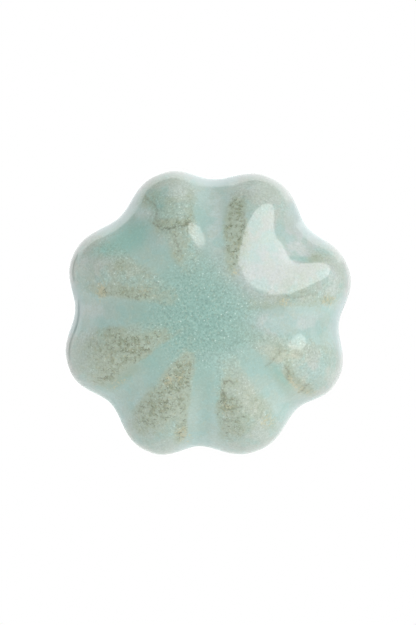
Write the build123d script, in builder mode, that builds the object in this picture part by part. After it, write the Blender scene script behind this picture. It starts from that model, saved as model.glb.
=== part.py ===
from build123d import *

import os
from math import cos, exp, pi, radians, sin, tanh

# A flower-shaped glazed ceramic cabinet knob with its cast-in anchor, brass ferrule, stud, washer and nut.
#
# Frame: the origin is the centre of the mounting face, where the ferrule meets the drawer front.
# -Y points out of the drawer to the hand, +Y runs along the stud into the drawer, +Z is up.
# A height in this file is a distance forward of the mounting face, so what is at height h stands at y = -h.

# Ceramic head, seen from the front: eight hand-pressed petals, so no two are quite alike.
PETAL_ANGLES = (18.5, 64.5, 108.5, 157, 201.5, 246.5, 289, 332.5)  # degrees, anticlockwise from +X
PETAL_RADII = (20.3, 20.6, 20.35, 20.25, 20.6, 20.75, 20.15, 20.05)
GROOVE_ANGLES = (41, 88, 132.5, 178.5, 223, 267, 313, 355)  # each follows its petal
GROOVE_RADII = (18.1, 18.45, 18.0, 18.3, 18.25, 18.35, 18.0, 18.05)
GROOVE_SHARPNESS = 1.3  # 1 is a sine wave; more is broader petals with narrower grooves
MEAN_RADIUS = 19.35

# The face of the head is a round dome in the middle and breaks into petals towards the rim.
HEAD_TOP = 22.0
EQUATOR = 13.0  # height of the widest section
FRONT_FULLNESS = 2.2  # 2 is an ellipse; more is a flatter face with a rounder rim
PETAL_FADE = 5  # the power of the radius by which the petals' outline fades towards the middle
GROOVE_DEPTH = 1.55
GROOVE_PEAK = 0.91  # where the grooves are deepest: 0 is the axis and 1 the rim
GROOVE_SPREAD = 0.28
GROOVE_START = 4  # how soon the grooves reach their depth above the widest section
FRONT_SHARES = (0, 0.17, 0.34, 0.5, 0.64, 0.76, 0.86, 0.93, 0.975, 0.995, 0.9995)  # of the face's rise
HALVINGS = 40  # how often front_radius() halves its search
SECTION_POINTS = 48
ROUND_TURN = [index / SECTION_POINTS for index in range(SECTION_POINTS + 1)]

# Neck: the head draws in behind its widest section to a short round neck with a bare foot.
HEAD_BASE = 5.0  # the height of the foot
NECK_RADIUS = 6.6
SHOULDER = 7.5  # height at which the neck starts to spread into the head
BACK_SECTIONS = (18, 37, 56, 72)  # degrees round the back from the widest section
FOOT_ROUND = 0.4

# Socket in the neck, and what is cemented into it.
SOCKET_RADIUS = 4.2
SOCKET_DEPTH = 11.0
INSERT_RADIUS = 3.3
INSERT_LENGTH = 9.0
INSERT_RECESS = 0.5
INSERT_START = HEAD_BASE + INSERT_RECESS
INSERT_END_WALL = 1.0
KNURL_COUNT = 16
KNURL_RADIUS = 0.35
INSERT_WAIST = 0.45  # depth of the turned groove that keys the insert into the cement
INSERT_WAIST_WIDTH = 1.6

# Stud: both ends are threaded M4, drawn at the pitch radius, with a plain shank between them.
SHANK_RADIUS = 2.0
THREAD_RADIUS = 1.77
TAPPED_RADIUS = 1.82  # a tapped hole, with running clearance on the thread
SHANK_LENGTH = 10.0
SHANK_STEP = 0.2
STUD_TAIL = 31.5  # how far it goes back into the drawer
STUD_REACH = 13.0  # how far it goes forward into the head
STUD_CHAMFER = 0.5

# Ferrule, the gasket between it and the foot, and the thin nut that keeps both on the stud.
FERRULE_RADIUS = 9.5
FERRULE_TOP_RADIUS = 7.6
FERRULE_EDGE = 1.3
FERRULE_ROUND = 0.25
FERRULE_START = (-0.9, -0.3)  # the way its hollow side leaves the foot flange
FERRULE_FINISH = (-0.1, -1)  # the way its hollow side reaches the rim
GASKET_THICKNESS = 0.6
GASKET_RADIUS = 6.2
FERRULE_HEIGHT = HEAD_BASE - GASKET_THICKNESS
FERRULE_LIP = 0.9  # how far the ferrule's rim rises round the neck
LIP_RADIUS = 6.8
RECESS_RADIUS = 4.7
RECESS_DEPTH = 2.7
CLEARANCE_RADIUS = 2.15
ACROSS_FLATS = 7.0
THIN_NUT_HEIGHT = 2.2
NUT_HEIGHT = 3.2
NUT_CORNER = ACROSS_FLATS / 2 / cos(pi / 6)
NUT_FACE_RADIUS = ACROSS_FLATS / 2 - 0.1  # the round flat that the chamfered corners leave on each face
NUT_SLOPE = 0.5  # how far a corner drops for each millimetre that it stands outside that flat
NUT_CLEAR = 0.05  # how far the turned envelope passes outside the corners

# Washer and mounting nut, where they sit behind a drawer front of ordinary thickness.
DRAWER_FRONT = 18.0
WASHER_RADIUS = 6.0
WASHER_THICKNESS = 1.0
WASHER_EDGE = 0.15
NUT_BACK = -DRAWER_FRONT - WASHER_THICKNESS - NUT_HEIGHT  # height of the mounting nut's far face


def face_at(height):
    """The plane square to the knob's axis at a height, seen from the front."""
    return Plane.XZ.offset(height)


def turned(*profile):
    """(radius, height) pairs as points of the XY plane, to be revolved about the Y axis."""
    return [(radius, -height) for radius, height in profile]


def nut_envelope(back, front):
    """The turned shape that takes the corners off a hexagonal nut at both faces."""
    corner = NUT_CORNER + NUT_CLEAR
    drop = (corner - NUT_FACE_RADIUS) * NUT_SLOPE
    return (
        (0, back),
        (NUT_FACE_RADIUS, back),
        (corner, back + drop),
        (corner, front - drop),
        (NUT_FACE_RADIUS, front),
        (0, front),
    )


def petal_wave(degrees):
    """(outline radius, groove share) at an angle: the share is 0 on a petal's ridge and 1 in a groove."""
    petals = list(zip(PETAL_ANGLES, PETAL_RADII))
    grooves = list(zip(GROOVE_ANGLES, GROOVE_RADII))
    turn = [item for pair in zip(petals, grooves) for item in pair]
    first_angle, first_radius = turn[0]
    turn.append((first_angle + 360, first_radius))
    angle = first_angle + (degrees - first_angle) % 360
    for index in range(len(turn) - 1):
        start, start_radius = turn[index]
        end, end_radius = turn[index + 1]
        if start <= angle <= end:
            blend = (1 - cos(pi * (angle - start) / (end - start))) / 2
            petal_radius, groove_radius = start_radius, end_radius
            if index % 2 == 1:
                blend = 1 - blend
                petal_radius, groove_radius = end_radius, start_radius
            return petal_radius + (groove_radius - petal_radius) * blend**GROOVE_SHARPNESS, blend
    raise ValueError(degrees)


def front_point(degrees, turn):
    """(radius, height) on the face, at a turn in radians from the widest section (0) to the top."""
    outline, groove = petal_wave(degrees)
    reach = cos(turn) ** (2 / FRONT_FULLNESS)
    rise = sin(turn) ** (2 / FRONT_FULLNESS)
    radius = reach * (MEAN_RADIUS + (outline - MEAN_RADIUS) * reach**PETAL_FADE)
    falloff = exp(-(((reach - GROOVE_PEAK) / GROOVE_SPREAD) ** 2)) * tanh(GROOVE_START * sin(turn))
    return radius, EQUATOR + (HEAD_TOP - EQUATOR) * rise - GROOVE_DEPTH * groove * falloff


def front_radius(degrees, height):
    """The face's radius at an angle and a height, found by halving the turn."""
    low, high = 0, pi / 2
    for _ in range(HALVINGS):
        middle = (low + high) / 2
        if front_point(degrees, middle)[1] < height:
            low = middle
        else:
            high = middle
    return front_point(degrees, low)[0]


def closed_points(radius_at):
    """Points round the axis, from a function that gives the radius at an angle in degrees."""
    points = []
    for share in ROUND_TURN[:-1]:
        radius = radius_at(360 * share)
        points.append((radius * cos(2 * pi * share), radius * sin(2 * pi * share)))
    return points


def neck_levels():
    """(height, points) of the round sections of the neck, from the foot forward."""
    middle = (HEAD_BASE + SHOULDER) / 2
    return [(height, closed_points(lambda degrees: NECK_RADIUS)) for height in (HEAD_BASE, middle)]


def back_levels():
    """(height, points) of the sections from the shoulder forward to the widest one."""
    levels = []
    for section in reversed(BACK_SECTIONS):
        drop = (EQUATOR - SHOULDER) * sin(radians(section))
        spread = cos(radians(section))
        points = closed_points(lambda degrees: NECK_RADIUS + (petal_wave(degrees)[0] - NECK_RADIUS) * spread)
        levels.append((EQUATOR - drop, points))
    return levels


def front_levels():
    """(height, points) of the sections from the widest one forward to the top."""
    levels = []
    for share in FRONT_SHARES:
        height = EQUATOR + (HEAD_TOP - EQUATOR) * share
        levels.append((height, closed_points(lambda degrees: front_radius(degrees, height))))
    return levels


# Ceramic head: one lofted skin from the neck to the top, with a blind socket in the foot.
with BuildPart() as ceramic_head:
    for height, points in neck_levels() + back_levels() + front_levels():
        with BuildSketch(face_at(height)):
            with BuildLine():
                add(Edge.make_spline(points, periodic=True, parameters=ROUND_TURN))
            make_face()
    loft()
    with BuildSketch(face_at(HEAD_BASE)):
        Circle(SOCKET_RADIUS)
    extrude(amount=SOCKET_DEPTH, mode=Mode.SUBTRACT)
    foot_edges = ceramic_head.edges().group_by(Axis.Y)[-1]
    fillet(foot_edges.sort_by(SortBy.LENGTH)[-1], FOOT_ROUND)


# Threaded insert: a blind M4 brass insert, fluted and waisted so that the cement holds it.
with BuildPart() as threaded_insert:
    with BuildSketch(face_at(INSERT_START)):
        Circle(INSERT_RADIUS)
        with PolarLocations(INSERT_RADIUS, KNURL_COUNT):
            Circle(KNURL_RADIUS, mode=Mode.SUBTRACT)
    extrude(amount=INSERT_LENGTH)
    with BuildSketch(face_at(INSERT_START + (INSERT_LENGTH - INSERT_WAIST_WIDTH) / 2)):
        Circle(INSERT_RADIUS + KNURL_RADIUS)
        Circle(INSERT_RADIUS - INSERT_WAIST, mode=Mode.SUBTRACT)
    extrude(amount=INSERT_WAIST_WIDTH, mode=Mode.SUBTRACT)
    with BuildSketch(face_at(INSERT_START)):
        Circle(TAPPED_RADIUS)
    extrude(amount=INSERT_LENGTH - INSERT_END_WALL, mode=Mode.SUBTRACT)


# Cement: what is left of the socket round the insert and ahead of it.
with BuildPart() as anchor_cement:
    with BuildSketch(face_at(INSERT_START)):
        Circle(SOCKET_RADIUS)
    extrude(amount=HEAD_BASE + SOCKET_DEPTH - INSERT_START)
    with BuildSketch(face_at(INSERT_START)):
        Circle(INSERT_RADIUS)
        with PolarLocations(INSERT_RADIUS, KNURL_COUNT):
            Circle(KNURL_RADIUS, mode=Mode.SUBTRACT)
    extrude(amount=INSERT_LENGTH, mode=Mode.SUBTRACT)
    with BuildSketch(face_at(INSERT_START + (INSERT_LENGTH - INSERT_WAIST_WIDTH) / 2)):
        Circle(SOCKET_RADIUS)
        Circle(INSERT_RADIUS - INSERT_WAIST, mode=Mode.SUBTRACT)
    extrude(amount=INSERT_WAIST_WIDTH)


# Stud: double-ended, with its plain shank just behind the mounting face.
with BuildPart() as stud:
    with BuildSketch(Plane.XY):
        with BuildLine():
            Polyline(
                turned(
                    (0, -STUD_TAIL),
                    (THREAD_RADIUS - STUD_CHAMFER, -STUD_TAIL),
                    (THREAD_RADIUS, STUD_CHAMFER - STUD_TAIL),
                    (THREAD_RADIUS, -SHANK_LENGTH - SHANK_STEP),
                    (SHANK_RADIUS, -SHANK_LENGTH),
                    (SHANK_RADIUS, 0),
                    (THREAD_RADIUS, SHANK_STEP),
                    (THREAD_RADIUS, STUD_REACH - STUD_CHAMFER),
                    (THREAD_RADIUS - STUD_CHAMFER, STUD_REACH),
                    (0, STUD_REACH),
                ),
                close=True,
            )
        make_face()
    revolve(axis=Axis.Y)


# Gasket: a soft ring that keeps the ferrule off the glaze-free foot.
with BuildPart() as gasket:
    with BuildSketch(face_at(FERRULE_HEIGHT)):
        Circle(GASKET_RADIUS)
        Circle(CLEARANCE_RADIUS, mode=Mode.SUBTRACT)
    extrude(amount=GASKET_THICKNESS)


# Ferrule: a turned brass base with a lip round the neck and a recess for the thin nut.
with BuildPart() as base_ferrule:
    with BuildSketch(Plane.XY):
        with BuildLine():
            rim = (FERRULE_RADIUS, -FERRULE_EDGE)
            lip = (FERRULE_TOP_RADIUS, -FERRULE_HEIGHT - FERRULE_LIP)
            Polyline(turned((RECESS_RADIUS, 0), (FERRULE_RADIUS, 0), (FERRULE_RADIUS, FERRULE_EDGE)))
            Spline(rim, lip, tangents=(FERRULE_START, FERRULE_FINISH))
            Polyline(
                turned(
                    (FERRULE_TOP_RADIUS, FERRULE_HEIGHT + FERRULE_LIP),
                    (LIP_RADIUS, FERRULE_HEIGHT + FERRULE_LIP),
                    (LIP_RADIUS, FERRULE_HEIGHT),
                    (CLEARANCE_RADIUS, FERRULE_HEIGHT),
                    (CLEARANCE_RADIUS, RECESS_DEPTH),
                    (RECESS_RADIUS, RECESS_DEPTH),
                    (RECESS_RADIUS, 0),
                )
            )
        make_face()
    revolve(axis=Axis.Y)
    outer_rings = base_ferrule.edges().filter_by(GeomType.CIRCLE).sort_by(SortBy.RADIUS)[-2:]
    fillet(outer_rings, FERRULE_ROUND)


# Retaining nut: a thin M4 nut in the recess, run up from the front end before the head goes on.
with BuildPart() as retaining_nut:
    with BuildSketch(face_at(RECESS_DEPTH - THIN_NUT_HEIGHT)):
        RegularPolygon(ACROSS_FLATS / 2, 6, major_radius=False)
        Circle(TAPPED_RADIUS, mode=Mode.SUBTRACT)
    extrude(amount=THIN_NUT_HEIGHT)
    with BuildSketch(Plane.XY):
        with BuildLine():
            Polyline(turned(*nut_envelope(RECESS_DEPTH - THIN_NUT_HEIGHT, RECESS_DEPTH)), close=True)
        make_face()
    revolve(axis=Axis.Y, mode=Mode.INTERSECT)


# Washer: bears on the inside of the drawer front.
with BuildPart() as washer:
    with BuildSketch(face_at(-DRAWER_FRONT - WASHER_THICKNESS)):
        Circle(WASHER_RADIUS)
        Circle(CLEARANCE_RADIUS, mode=Mode.SUBTRACT)
    extrude(amount=WASHER_THICKNESS)
    chamfer(washer.edges().filter_by(GeomType.CIRCLE).sort_by(SortBy.RADIUS)[-2:], WASHER_EDGE)


# Mounting nut: draws the washer up the stud.
with BuildPart() as mounting_nut:
    with BuildSketch(face_at(NUT_BACK)):
        RegularPolygon(ACROSS_FLATS / 2, 6, major_radius=False)
        Circle(TAPPED_RADIUS, mode=Mode.SUBTRACT)
    extrude(amount=NUT_HEIGHT)
    with BuildSketch(Plane.XY):
        with BuildLine():
            Polyline(turned(*nut_envelope(NUT_BACK, NUT_BACK + NUT_HEIGHT)), close=True)
        make_face()
    revolve(axis=Axis.Y, mode=Mode.INTERSECT)


ceramic_head.part.label = "ceramic_head"
threaded_insert.part.label = "threaded_insert"
anchor_cement.part.label = "anchor_cement"
stud.part.label = "stud"
gasket.part.label = "gasket"
base_ferrule.part.label = "base_ferrule"
retaining_nut.part.label = "retaining_nut"
washer.part.label = "washer"
mounting_nut.part.label = "mounting_nut"

os.makedirs("parts", exist_ok=True)
export_step(ceramic_head.part, "parts/ceramic_head.step")
export_step(threaded_insert.part, "parts/threaded_insert.step")
export_step(anchor_cement.part, "parts/anchor_cement.step")
export_step(stud.part, "parts/stud.step")
export_step(gasket.part, "parts/gasket.step")
export_step(base_ferrule.part, "parts/base_ferrule.step")
export_step(retaining_nut.part, "parts/retaining_nut.step")
export_step(washer.part, "parts/washer.step")
export_step(mounting_nut.part, "parts/mounting_nut.step")
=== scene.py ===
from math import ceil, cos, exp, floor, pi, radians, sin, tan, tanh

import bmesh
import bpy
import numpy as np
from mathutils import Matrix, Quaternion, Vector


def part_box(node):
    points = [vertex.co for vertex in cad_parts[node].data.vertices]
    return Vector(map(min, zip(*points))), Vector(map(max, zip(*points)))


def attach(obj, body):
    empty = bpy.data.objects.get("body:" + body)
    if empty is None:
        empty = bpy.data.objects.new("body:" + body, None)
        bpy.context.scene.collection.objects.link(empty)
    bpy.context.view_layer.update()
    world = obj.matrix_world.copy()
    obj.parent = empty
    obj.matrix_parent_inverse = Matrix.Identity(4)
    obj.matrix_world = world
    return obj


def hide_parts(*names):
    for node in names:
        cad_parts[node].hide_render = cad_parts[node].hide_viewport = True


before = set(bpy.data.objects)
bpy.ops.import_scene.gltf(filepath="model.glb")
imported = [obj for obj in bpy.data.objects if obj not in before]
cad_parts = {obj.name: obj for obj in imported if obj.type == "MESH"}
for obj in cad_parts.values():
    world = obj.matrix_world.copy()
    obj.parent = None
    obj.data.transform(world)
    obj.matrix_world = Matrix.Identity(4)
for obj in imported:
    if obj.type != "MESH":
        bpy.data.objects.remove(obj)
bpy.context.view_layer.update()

# The looks of a flower-shaped glazed cabinet knob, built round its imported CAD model.
#
# Blender's metres and the CAD model's frame: -Y points out of the drawer to the hand, +Y runs back along the
# stud, +Z is up. Shapes are worked out in millimetres as (radius, height) pairs, where height is the distance
# forward of the mounting face, and turned into metres once, in mesh_from_columns(). Colours are linear RGB.

MM = 0.001

# ---------------------------------------------------------------- the head's shape, as the CAD model has it
PETAL_ANGLES = (18.5, 64.5, 108.5, 157, 201.5, 246.5, 289, 332.5)  # degrees, anticlockwise from +X
PETAL_RADII = (20.3, 20.6, 20.35, 20.25, 20.6, 20.75, 20.15, 20.05)
GROOVE_ANGLES = (41, 88, 132.5, 178.5, 223, 267, 313, 355)  # each follows its petal
GROOVE_RADII = (18.1, 18.45, 18.0, 18.3, 18.25, 18.35, 18.0, 18.05)
GROOVE_SHARPNESS = 1.3  # 1 is a sine wave; more is broader petals with narrower grooves
MEAN_RADIUS = 19.35
EQUATOR = 13.0  # height of the widest section
FRONT_FULLNESS = 2.2  # 2 is an ellipse; more is a flatter face with a rounder rim
PETAL_FADE = 5  # the power of the radius by which the petals' outline fades towards the middle
GROOVE_DEPTH = 1.55
GROOVE_PEAK = 0.91  # where the grooves are deepest: 0 is the axis and 1 the rim
GROOVE_SPREAD = 0.28
GROOVE_START = 4  # how soon the grooves reach their depth above the widest section
NECK_RADIUS = 6.6
SHOULDER = 7.5
BACK_TURN = 72  # degrees of the back's elliptic section before it bends into the neck
NECK_TOP = 6.2  # where that bend ends
GLAZE_END = 6.0
SOCKET_RADIUS = 4.2
SOCKET_DEPTH = 11.0
FRONT_STEPS, BACK_STEPS, NECK_STEPS, HEAD_COLUMNS = 120, 24, 8, 480  # of the head's mesh

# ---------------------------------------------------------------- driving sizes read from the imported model


def span(node):
    """(back height, front height, greatest radius) of a CAD node, in millimetres."""
    low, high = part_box(node)
    return -high.y / MM, -low.y / MM, high.x / MM


HEAD_BASE, HEAD_TOP, _ = span("ceramic_head")
STUD_TAIL, STUD_TIP, _ = span("stud")
_, FERRULE_FRONT, FERRULE_RADIUS = span("base_ferrule")
GASKET_BACK, GASKET_FRONT, GASKET_RADIUS = span("gasket")
LOCK_BACK, LOCK_FRONT, _ = span("retaining_nut")
NUT_BACK, NUT_FRONT, _ = span("mounting_nut")
WASHER_BACK, WASHER_FRONT, WASHER_RADIUS = span("washer")
CLEARANCE_RADIUS = 2.15
ACROSS_FLATS = 7.0
GLAZE_MARGIN = 0.04  # keeps the glazed skin just inside the CAD box

# ---------------------------------------------------------------- thread: M4, in phase on all the pieces
PITCH = 0.7
CREST_RADIUS = 1.985
ROOT_RADIUS = 1.57
THREAD_PHASES = (0, 0.05, 0.09, 0.39, 0.44, 0.5)  # from the crest's middle to the root's, in pitches
THREAD_PROFILE = (CREST_RADIUS, CREST_RADIUS - 0.005, CREST_RADIUS - 0.04,
                  ROOT_RADIUS + 0.04, ROOT_RADIUS + 0.005, ROOT_RADIUS)
THREAD_SHARES = (0, 0.06, 0.15, 0.27, 0.40, 0.5, 0.60, 0.73, 0.85, 0.94)  # of a pitch, from the crest
INTERNAL_GAP = 0.045  # how much further out an internal thread's skin is
SHANK_LENGTH = 10.0
TIP_INSET = 0.12  # how far inside the thread's root the stud's chamfered ends are
COUNTERSINK = 0.15  # how far outside the thread's crest a nut's mouths are


def thread_radius(height, turn):
    """Radius of the thread's skin at a height and at an angle in turns; the crest is at phase 0."""
    phase = abs((height / PITCH - turn + 0.5) % 1 - 0.5)
    return float(np.interp(phase, THREAD_PHASES, THREAD_PROFILE))


def thread_rows(turn, low, high, radius_at):
    """(radius, height) points up a threaded wall at one angle. Each row keeps to its place on the helix."""
    rows = []
    for index in range(floor(low / PITCH) - 2, ceil(high / PITCH) + 2):
        for share in THREAD_SHARES:
            height = min(max((index + share + turn) * PITCH, low), high)
            rows.append((radius_at(height, turn), height))
    return rows


# ---------------------------------------------------------------- mesh building


def mesh_from_columns(name, columns, angles, sharp=35):
    """A closed skin from columns of (radius, height) in mm, one for each angle in degrees, wrapping round."""
    rows = len(columns[0])
    grid = np.array(columns)
    turn = np.radians(np.array(angles))[:, None]
    radius, height = grid[:, :, 0], grid[:, :, 1]
    points = np.stack([radius * np.cos(turn), -height, radius * np.sin(turn)], axis=-1) * MM
    faces = []
    for column in range(len(columns) - 1):
        for row in range(rows - 1):
            corner = column * rows + row
            faces.append((corner, corner + 1, corner + rows + 1, corner + rows))
    mesh = bpy.data.meshes.new(name)
    mesh.from_pydata(points.reshape(-1, 3).tolist(), [], faces)
    skin = bmesh.new()
    skin.from_mesh(mesh)
    bmesh.ops.remove_doubles(skin, verts=skin.verts, dist=2e-7)
    bmesh.ops.dissolve_degenerate(skin, edges=skin.edges, dist=2e-8)
    bmesh.ops.recalc_face_normals(skin, faces=skin.faces)
    skin.to_mesh(mesh)
    skin.free()
    mesh.shade_smooth()
    mesh.set_sharp_from_angle(angle=radians(sharp))
    piece = bpy.data.objects.new(name, mesh)
    bpy.context.scene.collection.objects.link(piece)
    return piece


def around(count):
    """Angles in degrees of a full turn, the first one repeated at the end."""
    return [360 * index / count for index in range(count + 1)]


def rounded(points, radius, steps=5):
    """A closed (radius, height) outline with rounded corners; radius is one number or one for each corner."""
    radii = radius if hasattr(radius, "__len__") else [radius] * len(points)
    result = []
    for index, point in enumerate(points):
        following = points[(index + 1) % len(points)]
        corner, before, after = Vector(point), Vector(points[index - 1]), Vector(following)
        reach = min(radii[index], (before - corner).length * 0.45, (after - corner).length * 0.45)
        if reach <= 0:
            result.append(tuple(corner))
            continue
        start = corner + (before - corner).normalized() * reach
        end = corner + (after - corner).normalized() * reach
        for step in range(steps + 1):
            share = step / steps
            bend = start * (1 - share) ** 2 + corner * 2 * share * (1 - share) + end * share**2
            result.append(tuple(bend))
    return result


def lathe(name, outline, count=128, sharp=35):
    """A turned ring from a closed (radius, height) outline."""
    loop = list(outline) + [outline[0]]
    angles = around(count)
    return mesh_from_columns(name, [loop for _ in angles], angles, sharp)


def finish_piece(piece, body, node, material):
    """What every new piece needs: its material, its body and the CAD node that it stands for."""
    piece.data.materials.clear()
    piece.data.materials.append(material)
    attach(piece, body)
    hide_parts(node)
    return piece


# ---------------------------------------------------------------- material building


class Nodes:
    """A node tree, with short names for the nodes that the materials and the world share."""

    def __init__(self, tree):
        self.tree = tree

    def feed(self, socket, value):
        if isinstance(value, bpy.types.NodeSocket):
            self.tree.links.new(value, socket)
        elif hasattr(value, "__len__") and len(value) == 3 and socket.type == "RGBA":
            socket.default_value = (*value, 1)
        else:
            socket.default_value = value

    def math(self, operation, *values, clamp=False):
        node = self.tree.nodes.new("ShaderNodeMath")
        node.operation, node.use_clamp = operation, clamp
        for socket, value in zip(node.inputs, values):
            self.feed(socket, value)
        return node.outputs[0]

    def vector(self, operation, *values, scale=None):
        node = self.tree.nodes.new("ShaderNodeVectorMath")
        node.operation = operation
        for socket, value in zip(node.inputs, values):
            self.feed(socket, value)
        if scale is not None:
            self.feed(node.inputs["Scale"], scale)
        return node.outputs["Value" if operation in ("LENGTH", "DISTANCE", "DOT_PRODUCT") else "Vector"]

    def field(self, name):
        node = self.tree.nodes.new("ShaderNodeAttribute")
        node.attribute_name = name
        return node.outputs["Fac"]

    def noise(self, scale, detail=2.0, roughness=0.5, place=None, distortion=0.0):
        """Noise with `scale` features to the millimetre."""
        node = self.tree.nodes.new("ShaderNodeTexNoise")
        self.feed(node.inputs["Vector"], place or self.place)
        self.feed(node.inputs["Scale"], scale)
        self.feed(node.inputs["Detail"], detail)
        self.feed(node.inputs["Roughness"], roughness)
        self.feed(node.inputs["Distortion"], distortion)
        return node.outputs["Fac"]

    def cells(self, scale, feature="F1", randomness=1.0, place=None, output="Distance"):
        node = self.tree.nodes.new("ShaderNodeTexVoronoi")
        node.feature = feature
        self.feed(node.inputs["Vector"], place or self.place)
        self.feed(node.inputs["Scale"], scale)
        self.feed(node.inputs["Randomness"], randomness)
        return node.outputs[output]

    def ramp(self, value, start, end, low=0.0, high=1.0, smooth=True):
        """Low below start, high above end; start may be more than end."""
        node = self.tree.nodes.new("ShaderNodeMapRange")
        node.interpolation_type = "SMOOTHSTEP" if smooth else "LINEAR"
        for socket, item in zip(node.inputs, (value, start, end, low, high)):
            self.feed(socket, item)
        return node.outputs[0]

    def mix(self, share, first, second, blend="MIX"):
        node = self.tree.nodes.new("ShaderNodeMix")
        node.data_type, node.blend_type, node.clamp_factor = "RGBA", blend, True
        self.feed(node.inputs[0], share)
        self.feed(node.inputs[6], first)
        self.feed(node.inputs[7], second)
        return node.outputs[2]

    def steps(self, value, stops):
        """A colour that changes evenly between (value, colour) stops."""
        node = self.tree.nodes.new("ShaderNodeValToRGB")
        self.feed(node.inputs[0], value)
        marks = node.color_ramp.elements
        while len(marks) < len(stops):
            marks.new(0.5)
        for mark, (position, colour) in zip(marks, stops):
            mark.position, mark.color = position, (*colour, 1)
        return node.outputs["Color"]

    def grey(self, value):
        """One number as a vector."""
        node = self.tree.nodes.new("ShaderNodeCombineXYZ")
        for socket in node.inputs:
            self.feed(socket, value)
        return node.outputs[0]


class Shader(Nodes):
    """A material, with its place in millimetres in the object's own frame."""

    def __init__(self, name):
        self.material = bpy.data.materials.new(name)
        self.material.use_nodes = True
        super().__init__(self.material.node_tree)
        self.surface = self.tree.nodes["Principled BSDF"]
        coordinates = self.tree.nodes.new("ShaderNodeTexCoord")
        self.place = self.vector("SCALE", coordinates.outputs["Object"], scale=1 / MM)

    def bump(self, height, distance, strength=1.0, normal=None):
        """A bump `distance` mm deep for a height from 0 to 1."""
        node = self.tree.nodes.new("ShaderNodeBump")
        self.feed(node.inputs["Height"], height)
        node.inputs["Distance"].default_value = distance * MM
        node.inputs["Strength"].default_value = strength
        if normal is not None:
            self.feed(node.inputs["Normal"], normal)
        self.feed(self.surface.inputs["Normal"], node.outputs["Normal"])
        return node.outputs["Normal"]

    def set(self, **values):
        for name, value in values.items():
            self.feed(self.surface.inputs[name.replace("_", " ")], value)


# ---------------------------------------------------------------- glazed head


def petal_wave(degrees):
    """(outline radius, groove share) at an angle: the share is 0 on a petal's ridge and 1 in a groove."""
    petals = list(zip(PETAL_ANGLES, PETAL_RADII))
    grooves = list(zip(GROOVE_ANGLES, GROOVE_RADII))
    turn = [item for pair in zip(petals, grooves) for item in pair]
    first_angle, first_radius = turn[0]
    turn.append((first_angle + 360, first_radius))
    angle = first_angle + (degrees - first_angle) % 360
    for index in range(len(turn) - 1):
        start, start_radius = turn[index]
        end, end_radius = turn[index + 1]
        if start <= angle <= end:
            blend = (1 - cos(pi * (angle - start) / (end - start))) / 2
            petal_radius, groove_radius = start_radius, end_radius
            if index % 2 == 1:
                blend = 1 - blend
                petal_radius, groove_radius = end_radius, start_radius
            return petal_radius + (groove_radius - petal_radius) * blend**GROOVE_SHARPNESS, blend
    raise ValueError(degrees)


def front_point(outline, groove, turn):
    """(radius, height) on the face, at a turn in radians from the widest section (0) to the top."""
    reach = cos(turn) ** (2 / FRONT_FULLNESS)
    rise = sin(turn) ** (2 / FRONT_FULLNESS)
    radius = reach * (MEAN_RADIUS + (outline - MEAN_RADIUS) * reach**PETAL_FADE)
    falloff = exp(-(((reach - GROOVE_PEAK) / GROOVE_SPREAD) ** 2)) * tanh(GROOVE_START * sin(turn))
    return radius, EQUATOR + (HEAD_TOP - EQUATOR) * rise - GROOVE_DEPTH * groove * falloff


def back_points(outline, steps):
    """(radius, height) from just behind the widest section to the neck, which it meets in a soft curve."""
    points = []
    for step in range(1, steps + 1):
        section = radians(BACK_TURN * step / steps)
        points.append((NECK_RADIUS + (outline - NECK_RADIUS) * cos(section),
                       EQUATOR - (EQUATOR - SHOULDER) * sin(section)))
    start, corner = Vector(points[-1]), Vector((NECK_RADIUS, SHOULDER - 0.1))
    end = Vector((NECK_RADIUS, NECK_TOP))
    for step in range(1, NECK_STEPS + 1):
        share = step / NECK_STEPS
        points.append(tuple(start * (1 - share) ** 2 + corner * 2 * share * (1 - share) + end * share**2))
    return points


def foot_and_socket():
    """(radius, height) from the neck round the bare foot and up the socket to its end on the axis."""
    top = HEAD_BASE + SOCKET_DEPTH
    outline = rounded(
        [(NECK_RADIUS, GLAZE_END), (NECK_RADIUS, HEAD_BASE), (SOCKET_RADIUS, HEAD_BASE), (SOCKET_RADIUS, top),
         (0, top)],
        [0, 0.4, 0.15, 0.3, 0],
    )
    return outline[:-1] + [(0, top)]


# Soft swellings and dips that the hand-made face has over its regular petals, in mm: (x, z, radius, height).
SWELLINGS = (
    (1.6, 9.5, 3.0, -0.09), (7.7, 9.2, 2.6, 0.11), (5.3, 11.0, 2.6, 0.05), (15.0, 5.5, 2.6, -0.08),
    (12.0, 1.0, 2.6, 0.09), (11.1, -3.9, 1.5, -0.085), (14.4, -5.6, 1.3, -0.08), (-4.1, 11.3, 2.6, 0.10),
    (8.4, 16.2, 1.9, -0.11),
)


def swelling(radius, turn):
    """How far the hand-made face stands over the regular one, in mm."""
    x, z = radius * cos(turn), radius * sin(turn)
    total = 0.0
    for centre_x, centre_z, reach, height in SWELLINGS:
        total += height * exp(-((x - centre_x) ** 2 + (z - centre_z) ** 2) / reach**2)
    return total


def glazed_head():
    angles = around(HEAD_COLUMNS)
    tail = foot_and_socket()
    skin = []
    for angle in angles:
        outline, groove = petal_wave(angle)
        column = []
        for step in range(FRONT_STEPS + 1):
            radius, height = front_point(outline, groove, pi / 2 * (1 - step / FRONT_STEPS))
            column.append((radius, height + swelling(radius, radians(angle))))
        column += back_points(outline, BACK_STEPS)
        glazed = [(max(radius - GLAZE_MARGIN, 0), height - GLAZE_MARGIN) for radius, height in column]
        skin.append(glazed + tail)
    return mesh_from_columns("glazed_head", skin, angles, sharp=80)


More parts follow.
